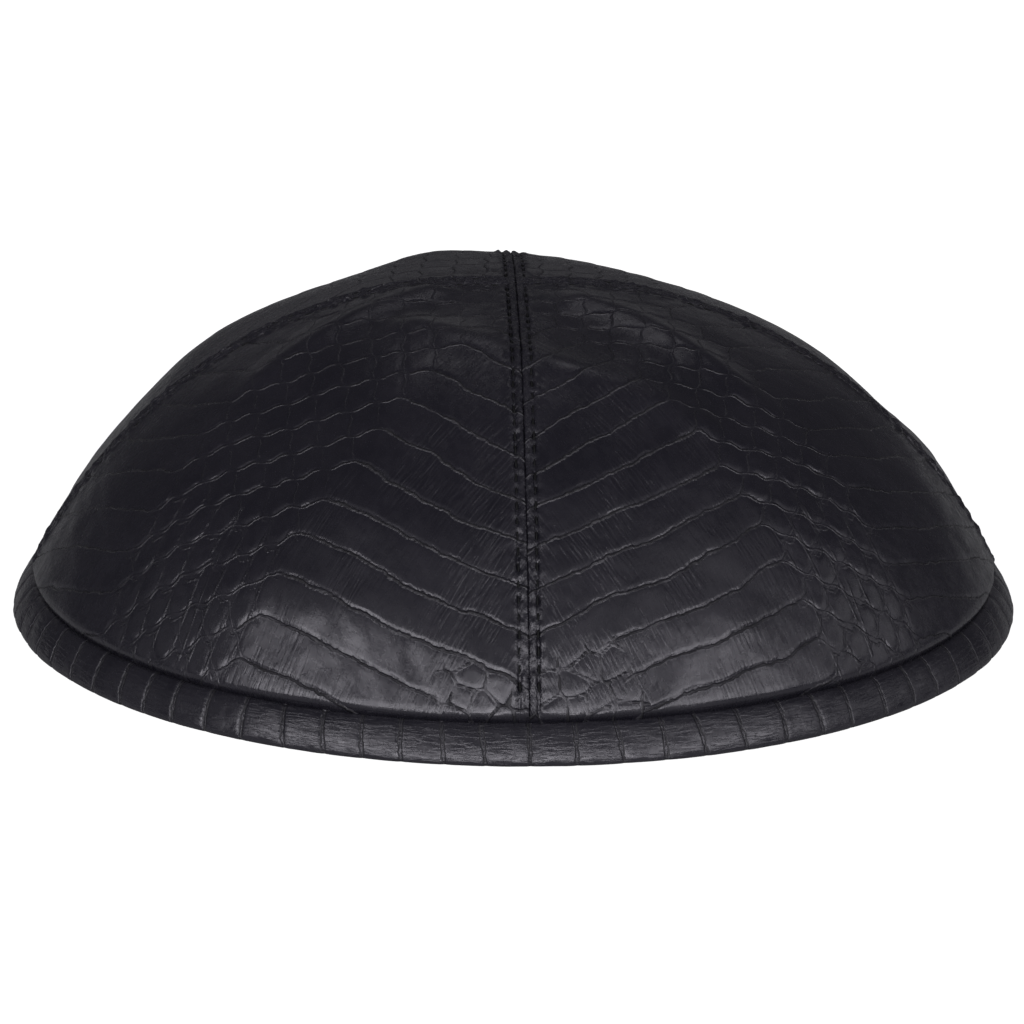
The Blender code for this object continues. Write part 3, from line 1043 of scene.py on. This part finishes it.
def gore_skin_material():
    nodes = Nodes("gore_skin")
    flat = nodes.attribute("flat")
    _u, _v, from_seam = nodes.split(flat)
    flank, near, _unused = nodes.split(nodes.attribute("zones"))
    slow = nodes.minus(nodes.noise(flat, 0.5), 0.5)
    creases, lips = gore_creases(nodes, flat, flank, slow)

    drawn_out = nodes.scaled(flat, (1.0, 0.07, 0.0))
    wrinkles = nodes.ramp(nodes.noise(drawn_out, 1.9, 3, 0.55, 0.5), 0.42, 0.62)
    where = nodes.ramp(nodes.noise(flat, 0.07), 0.40, 0.60, 0.15, 1.0)
    where = nodes.times(where, nodes.plus(nodes.times(near, 0.9), 0.1))
    crumple = nodes.times(nodes.noise(flat, 1.3, 3, 0.6), nodes.ramp(from_seam, 1.7, 3.0, 1.0, 0.0))
    height = nodes.total(
        (creases, CREASE_BUMP_MM),
        (lips, LIP_BUMP_MM),
        (nodes.times(wrinkles, where), WRINKLE_BUMP_MM),
        (crumple, CRUMPLE_BUMP_MM),
        (nodes.noise(flat, 0.45, 3), SWELL_BUMP_MM),
        (nodes.noise(flat, 3.2, 3, 0.65), GRAIN_BUMP_MM),
    )

    base = nodes.colour(nodes.ramp(nodes.noise(flat, 0.09, 3), 0.3, 0.7), *GORE_COLOURS)
    rough = nodes.ramp(slow, -0.2, 0.2, *GORE_ROUGHNESS)
    less = nodes.times(flank, GORE_CREASE_ROUGHNESS - FLANK_CREASE_ROUGHNESS)
    dull = nodes.times(creases, nodes.minus(GORE_CREASE_ROUGHNESS, less))
    nodes.set(
        # Painted shade: the creases' cores darken the base colour
        Base_Color=nodes.colour(nodes.times(creases, CREASE_SHADE_MIX), base, GORE_CREASE_SHADE_COLOUR),
        Roughness=nodes.plus(rough, dull),
        Normal=nodes.bump(height, MM),
        **GLOSS,
    )
    return nodes.material


def flesh_material():
    nodes = Nodes("gore_flesh_side")
    flat = nodes.attribute("flat")
    fibre = nodes.noise(nodes.scaled(flat, (1.0, 1.0, 0.0)), 2.6, 5, 0.7)
    tint = nodes.total((fibre, 0.5), (nodes.noise(flat, 0.12, 3), 0.5))
    nodes.set(
        Base_Color=nodes.colour(nodes.ramp(tint, 0.35, 0.65), *FLESH_COLOURS),
        Roughness=nodes.ramp(fibre, 0.3, 0.7, 0.80, 0.95),
        Normal=nodes.bump(fibre, FLESH_BUMP_MM * MM),
        Specular_IOR_Level=DULL_GLOSS,
        Sheen_Weight=0.15,
        Sheen_Roughness=0.5,
    )
    return nodes.material


def binding_material():
    nodes = Nodes("binding_skin")
    flat = nodes.attribute("flat")
    _u, _v, to_crease = nodes.split(flat)
    wander = nodes.minus(nodes.noise(flat, 0.8, 3), 0.5)
    beside = nodes.math("ABSOLUTE", nodes.minus(nodes.plus(to_crease, wander), RIB_CREASE_MM))
    crease = nodes.ramp(beside, 0.02, 0.22, 1.0, 0.0)
    streaks = nodes.noise(nodes.scaled(flat, (0.16, 1.0, 0.0)), 1.6, 4, 0.6, 0.3)
    shape = nodes.bump(nodes.times(crease, -1.0), BINDING_CREASE_BUMP_MM * MM)
    for form, height in (
        (nodes.ramp(streaks, 0.42, 0.62), BINDING_STREAK_BUMP_MM),
        (nodes.noise(flat, 0.5, 3), BINDING_SWELL_BUMP_MM),
        (nodes.noise(flat, 3.4, 4, 0.65), BINDING_GRAIN_BUMP_MM),
    ):
        shape = nodes.bump(form, height * MM, 0.8, shape)
    base = nodes.colour(nodes.ramp(nodes.noise(flat, 0.1, 3), 0.3, 0.7), *BINDING_COLOURS)
    rough = nodes.ramp(nodes.noise(flat, 0.4, 4), 0.3, 0.7, *BINDING_ROUGHNESS)
    nodes.set(
        # Painted shade: the rib creases darken the base colour
        Base_Color=nodes.colour(nodes.times(crease, CREASE_SHADE_MIX), base, BINDING_CREASE_SHADE_COLOUR),
        Roughness=nodes.plus(rough, nodes.times(crease, BINDING_CREASE_ROUGHNESS)),
        Normal=shape,
        **GLOSS,
    )
    return nodes.material


def thread_material():
    nodes = Nodes("black_thread")
    place = nodes.add("ShaderNodeTexCoord").outputs["Object"]
    wave = {"Vector": place, "Scale": THREAD_TWIST, "Distortion": 1.5}
    twist = nodes.add("ShaderNodeTexWave", wave, wave_type="BANDS").outputs["Fac"]
    nodes.set(
        Base_Color=nodes.colour(twist, *THREAD_COLOURS),
        Roughness=0.72,
        Normal=nodes.bump(twist, THREAD_BUMP_MM * MM),
        Specular_IOR_Level=DULL_GLOSS,
    )
    return nodes.material


# Studio
# Columns: name, azimuth and elevation in degrees, width and height in metres, watts
LIGHTS = (
    ("front_left", -45, 20, 2.0, 0.9, 16.8),
    ("front_right", 45, 20, 2.0, 0.9, 12.5),
    ("front", 0, 20, 2.0, 0.9, 12.8),
    ("key_left", -50, 31, 1.3, 0.5, 3.6),
    ("key_right", 52, 31, 1.3, 0.5, 2.6),
    ("left", -90, 20, 2.0, 0.9, 0.7),
    ("right", 90, 20, 2.0, 0.9, 2.6),
    ("back_high", 178, 58, 1.3, 0.35, 1.2),
    ("back_low", 180, 14, 2.4, 0.5, 0.45),
    ("top_front", 5, 67, 3.4, 1.4, 1.6),
    ("low_front", -2, 6.5, 3.2, 0.45, 23.0),
    ("high_front", 4, 48, 2.2, 1.3, 1.6),
    ("high_right", 60, 48, 2.2, 1.3, 2.3),
    ("high_left", -60, 48, 2.2, 1.3, 1.4),
)
LIGHT_DISTANCE = 3.0
WORLD_LIGHT = 0.062
WORLD_COLOUR = (0.91, 0.89, 1.0, 1)
FLOOR_SIZE = 8.0
FLOOR_DROP = 0.0001
FLOOR_COLOUR = (0.62, 0.62, 0.63, 1)
FLOOR_GLOW = 0.95
CAMERA_ELEVATION = 17.3
CAMERA_AZIMUTH = -1.9
CAMERA_ROLL = 0.40
CAMERA_DISTANCE = 1.5
CAMERA_LENS = 302.05
AIM_HEIGHT = 0.030
AIM_DOWN = 0.0122
AIM_LEFT = 0.00044


def direction(azimuth, elevation):
    """Unit vector from the cap towards a place round it, from angles in radians."""
    level = math.cos(elevation)
    return Vector((level * math.sin(azimuth), -level * math.cos(azimuth), math.sin(elevation)))


def make_light(name, azimuth_deg, elevation_deg, width, height, watts):
    away = direction(math.radians(azimuth_deg), math.radians(elevation_deg))
    light = bpy.data.lights.new(name, "AREA")
    light.shape = "RECTANGLE"
    light.size = width
    light.size_y = height
    light.energy = watts
    lamp = link(light, name)
    lamp.location = away * LIGHT_DISTANCE + Vector((0, 0, AIM_HEIGHT))
    lamp.rotation_euler = away.to_track_quat("Z", "Y").to_euler()


def make_world():
    world = bpy.data.worlds.new("studio")
    bpy.context.scene.world = world
    world.use_nodes = True
    background = world.node_tree.nodes["Background"]
    background.inputs["Color"].default_value = WORLD_COLOUR
    background.inputs["Strength"].default_value = WORLD_LIGHT


def make_floor():
    """A plain floor that also glows a little, for the camera alone, so that it lights nothing."""
    mesh = bpy.data.meshes.new("floor")
    half = FLOOR_SIZE / 2
    corners = [(-half, -half, 0), (half, -half, 0), (half, half, 0), (-half, half, 0)]
    mesh.from_pydata(corners, [], [(0, 1, 2, 3)])
    nodes = Nodes("pale_floor")
    seen = nodes.add("ShaderNodeLightPath").outputs["Is Camera Ray"]
    nodes.set(
        Base_Color=FLOOR_COLOUR,
        Roughness=0.9,
        Specular_IOR_Level=0.1,
        Emission_Color=(1.0, 1.0, 1.0, 1),
        Emission_Strength=nodes.times(seen, FLOOR_GLOW),
    )
    mesh.materials.append(nodes.material)
    floor = link(mesh, "floor")
    floor.location.z = cad_box[0].z - FLOOR_DROP


def make_camera():
    azimuth, elevation, roll = (math.radians(a) for a in (CAMERA_AZIMUTH, CAMERA_ELEVATION, CAMERA_ROLL))
    back = direction(azimuth, elevation)
    level = Vector((math.cos(azimuth), math.sin(azimuth), 0))
    upright = back.cross(level)
    right = level * math.cos(roll) + upright * math.sin(roll)
    up = upright * math.cos(roll) - level * math.sin(roll)
    aim = Vector((0, 0, AIM_HEIGHT)) - up * AIM_DOWN - right * AIM_LEFT
    data = bpy.data.cameras.new("camera")
    data.lens = CAMERA_LENS
    camera = link(data, "camera")
    turn = Matrix((right, up, back)).transposed().to_4x4()
    camera.matrix_world = Matrix.Translation(aim + back * CAMERA_DISTANCE) @ turn
    bpy.context.scene.camera = camera


def main():
    skin = gore_skin_material()
    flesh = flesh_material()
    for row in SKINS:
        make_gore(row, (skin, flesh))
    for number, name in enumerate(("front", "right", "back", "left")):
        make_allowance("allowance_" + name, number * math.pi / 2, flesh)
    make_binding(binding_material())
    make_threads(thread_material())
    make_floor()
    make_world()
    for row in LIGHTS:
        make_light(*row)
    make_camera()
    bpy.context.scene.view_settings.view_transform = "Standard"


main()
